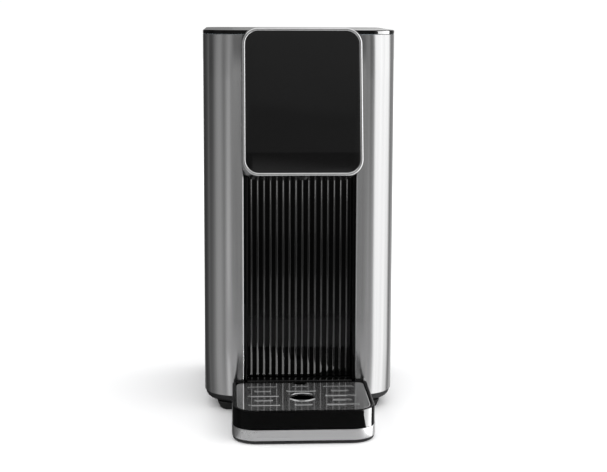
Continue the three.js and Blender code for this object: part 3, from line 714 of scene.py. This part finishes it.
def drip_plate():
    """pressed steel plate: rounded edge, slots and drain hole with rolled lips"""
    z1, z0 = dp_lo.z + 1.4, dp_lo.z
    bm = bmesh.new()

    def add_loop(pts, z):
        vs = [bm.verts.new((x * MM, y * MM, z * MM)) for x, y in pts]
        es = [bm.edges.new((vs[i], vs[(i + 1) % len(vs)])) for i in range(len(vs))]
        return vs, es

    def bridge(a, b):
        n = len(a)
        for i in range(n):
            j = (i + 1) % n
            bm.faces.new((a[i], a[j], b[j], b[i]))

    tops, bots = [], []

    def outline_loops(fn_, prof_):
        """prof_: (offset, z) from the top face, over the edge, to the bottom face"""
        prev = None
        first_e = None
        for k, (o, z) in enumerate(prof_):
            vs, es = add_loop(fn_(o), z)
            if k == 0:
                first_e = es
            if prev:
                bridge(prev, vs)
            prev, last_e = vs, es
        tops.extend(first_e)
        bots.extend(last_e)

    # the outer edge, with the finger notch cut in at the back
    hw, y0, y1 = dp_hi.x, dp_lo.y, dp_hi.y
    rn = 6.0

    def outer(o):
        pts = []
        f_, b_ = TR - 4.2 - o, 6.3 - o
        x = hw - o
        a, b = y0 + o, y1 - o
        h = math.pi / 2
        pts += arc(x - f_, a + f_, f_, -h, 0, 16) + arc(x - b_, b - b_, b_, 0, h, 10)
        # notch: semicircle of radius rn + o centred on the back edge
        ro = rn + o
        half = math.sqrt(max(ro * ro - o * o, 0.01))
        a0 = math.atan2(-o, half)
        pts += arc(0, y1, ro, a0, -math.pi - a0, 22)
        pts += arc(-x + b_, b - b_, b_, h, 2 * h, 10) + arc(-x + f_, a + f_, f_, 2 * h, 3 * h, 16)
        return pts

    outline_loops(outer, [(0.9, z1), (0.6, z1 - 0.04), (0.28, z1 - 0.16), (0.08, z1 - 0.36), (0, z1 - 0.62), (0, z0 + 0.1), (0.1, z0)])

    def capsule(cx, cy, half, hw_):
        def fn_(o):
            r = hw_ - o
            L = half - hw_
            pts = arc(cx + L, cy, r, -math.pi / 2, math.pi / 2, 8) + arc(cx - L, cy, r, math.pi / 2, 1.5 * math.pi, 8)
            return pts
        return fn_

    lip = [(-0.95, z1), (-0.75, z1 + 0.05), (-0.5, z1 + 0.17), (-0.22, z1 + 0.22), (-0.05, z1 + 0.12), (0, z1 - 0.08), (0, z0 + 0.08), (-0.08, z0)]
    slots = []
    for sgn in (-1, 1):
        for d in (20.0, 49.2, 78.0):
            slots.append((sgn * 36.2, YF - d, 14.2))
        for d in (33.1, 63.0):
            slots.append((sgn * 36.5, YF - d, 8.2))
    slots += [(0, YF - 19.0, 7.9), (0, YF - 33.6, 14.3), (0, YF - 77.4, 7.6)]
    for cx, cy, half in slots:
        outline_loops(capsule(cx, cy, half, 1.3), lip)

    hy = YF - 54.0

    def circle(o):
        r = 11.4 - o
        return [(r * math.cos(2 * math.pi * i / 64), hy + r * math.sin(2 * math.pi * i / 64)) for i in range(64)]

    outline_loops(circle, [(-2.1, z1), (-1.85, z1 + 0.08), (-1.5, z1 + 0.4), (-1.1, z1 + 0.62), (-0.7, z1 + 0.7), (-0.3, z1 + 0.55), (-0.05, z1 + 0.25), (0, z1 - 0.1), (0, z0 + 0.1), (-0.1, z0)])
    bmesh.ops.triangle_fill(bm, use_beauty=True, use_dissolve=False, edges=tops)
    bmesh.ops.triangle_fill(bm, use_beauty=True, use_dissolve=False, edges=bots)
    bmesh.ops.recalc_face_normals(bm, faces=bm.faces)
    me = bpy.data.meshes.new("plate_steel")
    bm.to_mesh(me)
    bm.free()
    finish_piece("plate_steel", me, M_PLATE, "plate", ("drip_plate",), 25, uv=lambda c: (c.y * 4.0, c.x * 4.0), flat_z=True)


drip_plate()

# ------------------------------------------------------------- rear water tank
tk_lo, tk_hi = B("tank_shell")
kfn = lambda i: rr(tk_hi.x, tk_lo.y, tk_hi.y, 4.0, 20.0, i, 18)
z0, z1 = tk_lo.z, tk_hi.z
prof = [(8, z0), (1.2, z0)] + [(1.2 * (1 - math.sin(math.pi / 2 * k / 5)), z0 + 1.2 * (1 - math.cos(math.pi / 2 * k / 5))) for k in range(1, 6)]
prof += [(0, z0 + 60), (0, z0 + 150), (0, z0 + 240), (0, z1 - 0.4), (0.4, z1), (1.8, z1), (2.2, z1 - 0.4), (2.2, z0 + 200), (2.2, z0 + 100), (2.2, z0 + 5), (4.2, z0 + 3), (10, z0 + 3)]
v, f = loft(stack(kfn, prof))
piece("tank_body", v, f, M_TANK, "tank", ("tank_shell",))

# lid and bridge over the tank
br_lo, br_hi = B("tank_bridge")
ld_lo, ld_hi = B("tank_lid")
YH, ZH = br_hi.y - 14.4, br_hi.z - 1.5


def coil():
    """closing spring of the tank valve: round wire, four turns"""
    n, m, r, w, turns, x0, y0, z0, rise = 160, 8, 2.45, 0.35, 4, 0.0, 109.1, 47.2, 8.0
    verts, faces = [], []
    for i in range(n + 1):
        a = i / n * turns * 2 * math.pi
        c, s = math.cos(a), math.sin(a)
        for j in range(m):
            b = 2 * math.pi * j / m
            q = r + w * math.cos(b)
            verts.append((x0 + q * c, y0 + q * s, z0 + rise * i / n + w * math.sin(b)))
    for i in range(n):
        for j in range(m):
            k = (j + 1) % m
            faces.append((i * m + j, (i + 1) * m + j, (i + 1) * m + k, i * m + k))
    faces.append(tuple(range(m)))
    faces.append(tuple(reversed(range(n * m, n * m + m))))
    ob = piece("valve_coil", verts, faces, M_ZINC, "tank", ("valve_spring",))
    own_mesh(ob)


def lid_piece():
    """lid plate with finger hole, rolled rear knuckle and softened edges"""
    bm = bmesh.new()
    zt_, zb_ = ld_hi.z, ld_lo.z
    tops, bots = [], []

    def loops(fn_, prof_):
        prev = None
        for k, (o, z) in enumerate(prof_):
            vs = [bm.verts.new((x * MM, y * MM, z * MM)) for x, y in fn_(o)]
            es = [bm.edges.new((vs[i], vs[(i + 1) % len(vs)])) for i in range(len(vs))]
            if k == 0:
                tops.extend(es)
            if prev:
                for i in range(len(vs)):
                    j = (i + 1) % len(vs)
                    bm.faces.new((prev[i], prev[j], vs[j], vs[i]))
            prev, last = vs, es
        bots.extend(last)

    def outer(o):
        x, a, b = ld_hi.x - o, ld_lo.y + o, YH - 2.1 - o
        bi = YH - 0.2 - o
        pts = arc(x - 4 + o, a + 4 - o, 4 - o, -math.pi / 2, 0, 6)
        pts += [(x, b), (78.0 - o, b), (78.0 - o, bi), (-78.0 + o, bi), (-78.0 + o, b), (-x, b)]
        pts += arc(-x + 4 - o, a + 4 - o, 4 - o, math.pi, 1.5 * math.pi, 6)
        return pts

    loops(outer, [(0.8, zt_), (0.35, zt_ - 0.1), (0.08, zt_ - 0.35), (0, zt_ - 0.7), (0, zb_ + 0.3), (0.3, zb_)])
    cy = ld_lo.y + 26

    def circ(o):
        r = 13 - o
        return [(r * math.cos(2 * math.pi * i / 56), cy + r * math.sin(2 * math.pi * i / 56)) for i in range(56)]

    loops(circ, [(-1.2, zt_), (-0.7, zt_ - 0.12), (-0.25, zt_ - 0.4), (0, zt_ - 0.9), (0, zb_ + 0.3), (-0.3, zb_)])
    bmesh.ops.triangle_fill(bm, use_beauty=True, use_dissolve=False, edges=tops)
    bmesh.ops.triangle_fill(bm, use_beauty=True, use_dissolve=False, edges=bots)
    bmesh.ops.recalc_face_normals(bm, faces=bm.faces)
    me = bpy.data.meshes.new("tank_cover")
    bm.to_mesh(me)
    bm.free()
    finish_piece("tank_cover", me, M_GLOSS, "lid", ("tank_lid",), 25, flat_z=True)
    rings = []
    for x in (-78, -77.7, 77.7, 78):
        r = 1.2 if abs(x) == 78 else 1.5
        rings.append([(x, YH + r * math.cos(2 * math.pi * i / 24), ZH + r * math.sin(2 * math.pi * i / 24)) for i in range(24)])
    v, f = loft(rings)
    ob = piece("cover_knuckle", v, f, M_GLOSS, "lid")


lid_piece()
coil()

# ------------------------------------------------------- floor and backdrop
def stage_mesh(name, verts, faces, mat):
    me = bpy.data.meshes.new(name)
    me.from_pydata(verts, [], faces)
    me.materials.append(mat)
    for p in me.polygons:
        p.use_smooth = True
    ob = bpy.data.objects.new(name, me)
    bpy.context.scene.collection.objects.link(ob)
    return ob


def floor_mat(name, v):
    t = NT(name)
    n = t.noise(t.mapped((1, 1, 1)), 3, 3)
    t.link(t.ramp(n, [(0.2, grey(v * 0.985)), (0.8, grey(v))]), t.b.inputs["Base Color"])
    t.set(Roughness=0.8)
    t.b.inputs["Specular IOR Level"].default_value = 0.1
    return t.m


M_FLOOR = floor_mat("m_floor", 0.93)
# darker copy of the floor material for the reflection-only table top: painted shade, not the table's own colour
M_FLOOR_NEAR_SHADED = floor_mat("m_floor_near_shaded", NEAR_SHADED_ALBEDO)
R = 9.0
seg = 72
big = stage_mesh("floor_wide", [(0, 0, -0.0002)] + [(R * math.cos(2 * math.pi * i / seg), R * math.sin(2 * math.pi * i / seg), -0.0002) for i in range(seg)],
                 [(0, 1 + i, 1 + (i + 1) % seg) for i in range(seg)], M_FLOOR)
big.visible_glossy = False
# the table top as the gloss of the object sees it: it ends a short way out, and the studio beyond it is dim; its colour
# is painted darker than the real floor, as painted shade in the reflections
outline_near = [(0.058, -0.112), (0.40, -0.41), (-0.46, -0.41), (-0.060, -0.118), (-0.05, 0.06), (0.05, 0.06)]
near = stage_mesh("floor_near", [(x, y, -0.0003) for x, y in outline_near], [tuple(range(len(outline_near)))[::-1]], M_FLOOR_NEAR_SHADED)
near.visible_camera = False
near.visible_shadow = False
near.visible_diffuse = False


# ------------------------------------------------------------------ lights
def area(name, loc, target, sx, sy, radiance):
    d = bpy.data.lights.new(name, "AREA")
    d.shape = "RECTANGLE"
    d.size, d.size_y = sx, sy
    d.energy = radiance * sx * sy * math.pi
    o = bpy.data.objects.new(name, d)
    bpy.context.scene.collection.objects.link(o)
    o.location = loc
    o.rotation_euler = (Vector(target) - Vector(loc)).to_track_quat("-Z", "Y").to_euler()
    o.visible_camera = False
    return o


sun_d = bpy.data.lights.new("sky_panel", "SUN")
sun_d.energy = SUN
sun_d.angle = math.radians(50)
sun = bpy.data.objects.new("sky_panel", sun_d)
bpy.context.scene.collection.objects.link(sun)
sun.rotation_euler = (Vector((0, 0, 0)) - Vector((0.60, -0.15, 1.0))).to_track_quat("-Z", "Y").to_euler()
sun.visible_glossy = False

def receivers(light, *names):
    c = bpy.data.collections.new(light.name + "_receivers")
    for nm in names:
        c.objects.link(bpy.data.objects[nm])
    light.light_linking.receiver_collection = c


# soft cards picked up only by the crowns of the ribs: at the top, and low down over the plate
card_top = area("card_top", (0.040, -1.026, 0.103), (0.040, 0.5, 0.103), 0.17, 0.074, CARD_TOP)
receivers(card_top, "niche_ribs")
card_low = area("card_low", (-0.050, -0.065, 0.0335), (-0.050, -0.065, 0.5), 0.140, 0.115, CARD_LOW)
card_low.rotation_euler.z = math.radians(CARD_TURN)
receivers(card_low, "niche_ribs")
card_shoulder = area("card_shoulder", (0.040, -1.026, 0.032), (0.040, 0.5, 0.032), 0.17, 0.058, CARD_SHOULDER)
receivers(card_shoulder, "niche_ribs")
card_mid = area("card_mid", (0.035, -0.54, 0.001), (0.035, -0.54, 0.5), 0.21, 0.24, CARD_MID)
receivers(card_mid, "niche_ribs")
# a card over the back of the plate that only the rolled lips of its slots pick up
card_plate = area("card_plate", (0.0, -0.0445, 0.110), (0.0, -1.0, 0.110), 0.10, 0.084, CARD_PLATE)
card_plate.visible_diffuse = False
receivers(card_plate, "plate_steel")
# and one as the plate sees the ribs
card_high = area("card_high", (0.0, -1.026, 0.345), (0.0, 0.5, 0.345), 0.12, 0.10, CARD_HIGH)
receivers(card_high, "niche_ribs")
# the bright bank to the right, as the black gloss sees it
bank = area("bank_right", (1.25, -0.17, 0.25), (0, -0.05, 0.15), 1.15, 1.6, BANK)
bank.visible_diffuse = False
receivers(bank, "lid_shell", "tray_bowl", "tray_tongue_left", "tray_tongue_right")
bank_trim = area("bank_trim", (1.25, -0.17, 0.25), (0, -0.05, 0.15), 1.15, 1.6, BANK_TRIM)
bank_trim.visible_diffuse = False
receivers(bank_trim, "tray_trim")

w = bpy.data.worlds.new("studio")
bpy.context.scene.world = w
w.use_nodes = True
wt = w.node_tree
wt.nodes.clear()


def wn(kind, **kw):
    x = wt.nodes.new(kind)
    for k, v in kw.items():
        setattr(x, k, v)
    return x


def wmath(op, a, b=None, clamp=False):
    x = wn("ShaderNodeMath", operation=op, use_clamp=clamp)
    for i, v in enumerate((a, b)):
        if v is None:
            continue
        if isinstance(v, (int, float)):
            x.inputs[i].default_value = v
        else:
            wt.links.new(v, x.inputs[i])
    return x.outputs[0]


def wrange(v, a, b, lo, hi, smooth=False):
    x = wn("ShaderNodeMapRange", interpolation_type="SMOOTHSTEP" if smooth else "LINEAR")
    for k, q in (("From Min", a), ("From Max", b), ("To Min", lo), ("To Max", hi)):
        x.inputs[k].default_value = q
    wt.links.new(v, x.inputs["Value"])
    return x.outputs[0]


def wramp(fac, stops, lo, hi):
    """brightness by angle; stops are (degrees, radiance)"""
    x = wn("ShaderNodeValToRGB")
    el = x.color_ramp.elements
    while len(el) < len(stops):
        el.new(0.5)
    for e, (a, c) in zip(el, stops):
        e.position = (a - lo) / (hi - lo)
        e.color = (c, c, c, 1)
    wt.links.new(fac, x.inputs[0])
    return x.outputs[0]


def wmix(f, a, b):
    x = wn("ShaderNodeMix", data_type="RGBA")
    for i, v in ((0, f), (6, a), (7, b)):
        if isinstance(v, float):
            x.inputs[i].default_value = v
        else:
            wt.links.new(v, x.inputs[i])
    return x.outputs[2]


wo = wn("ShaderNodeOutputWorld")
tc = wn("ShaderNodeTexCoord")
sep = wn("ShaderNodeSeparateXYZ")
wt.links.new(tc.outputs["Generated"], sep.inputs[0])
az = wmath("ARCTAN2", sep.outputs["X"], wmath("MULTIPLY", sep.outputs["Y"], -1.0))   # 0 is straight in front
az01 = wrange(az, -math.pi, math.pi, 0.0, 1.0)
el_ = wmath("ARCSINE", sep.outputs["Z"])
left_f = wrange(az, -math.pi, 0.0, 0.0, 1.0)
right_f = wrange(az, 0.0, math.pi, 0.0, 1.0)
low_f = wrange(el_, math.radians(-4.0), math.radians(-12.0), 0.0, 1.0)
is_right = wmath("GREATER_THAN", az, 0.0)
low = wmix(is_right, wramp(left_f, LEFT_LOW, -180, 0), wramp(right_f, RIGHT_LOW, 0, 180))
high = wmix(is_right, wramp(left_f, LEFT_HIGH, -180, 0), wramp(right_f, RIGHT_HIGH, 0, 180))
sides = wmix(low_f, high, low)
# straight in front the brightness depends on height
el01 = wrange(el_, math.radians(-30), math.radians(90), 0.0, 1.0)
front = wramp(el01, FRONT, -30, 90)
front_f = wmath("MULTIPLY", wrange(az, math.radians(-20), math.radians(-11), 0.0, 1.0, True), wrange(az, math.radians(12), math.radians(20), 1.0, 0.0, True))
studio = wmix(front_f, sides, front)
# overhead light bank, seen by upward-facing gloss
ceil_f = wrange(el_, math.radians(38), math.radians(55), 0.0, 1.0, True)
studio = wmix(ceil_f, studio, wramp(el01, [(-30, CEIL), (90, CEIL)], -30, 90))

bg_env = wn("ShaderNodeBackground")
wt.links.new(studio, bg_env.inputs[0])
bg_env.inputs[1].default_value = 1.0
bg_dif = wn("ShaderNodeBackground")
bg_dif.inputs[0].default_value = (1, 1, 1, 1)
bg_dif.inputs[1].default_value = AMBIENT
bg_cam = wn("ShaderNodeBackground")
bg_cam.inputs[0].default_value = (1, 1, 1, 1)
bg_cam.inputs[1].default_value = 1.02
lp = wn("ShaderNodeLightPath")
m1 = wn("ShaderNodeMixShader")
wt.links.new(lp.outputs["Is Diffuse Ray"], m1.inputs[0])
wt.links.new(bg_env.outputs[0], m1.inputs[1])
wt.links.new(bg_dif.outputs[0], m1.inputs[2])
m2 = wn("ShaderNodeMixShader")
wt.links.new(lp.outputs["Is Camera Ray"], m2.inputs[0])
wt.links.new(m1.outputs[0], m2.inputs[1])
wt.links.new(bg_cam.outputs[0], m2.inputs[2])
wt.links.new(m2.outputs[0], wo.inputs[0])

sc = bpy.context.scene
sc.view_settings.view_transform = "Standard"
sc.view_settings.look = "None"
sc.view_settings.exposure = 0
sc.view_settings.gamma = 1
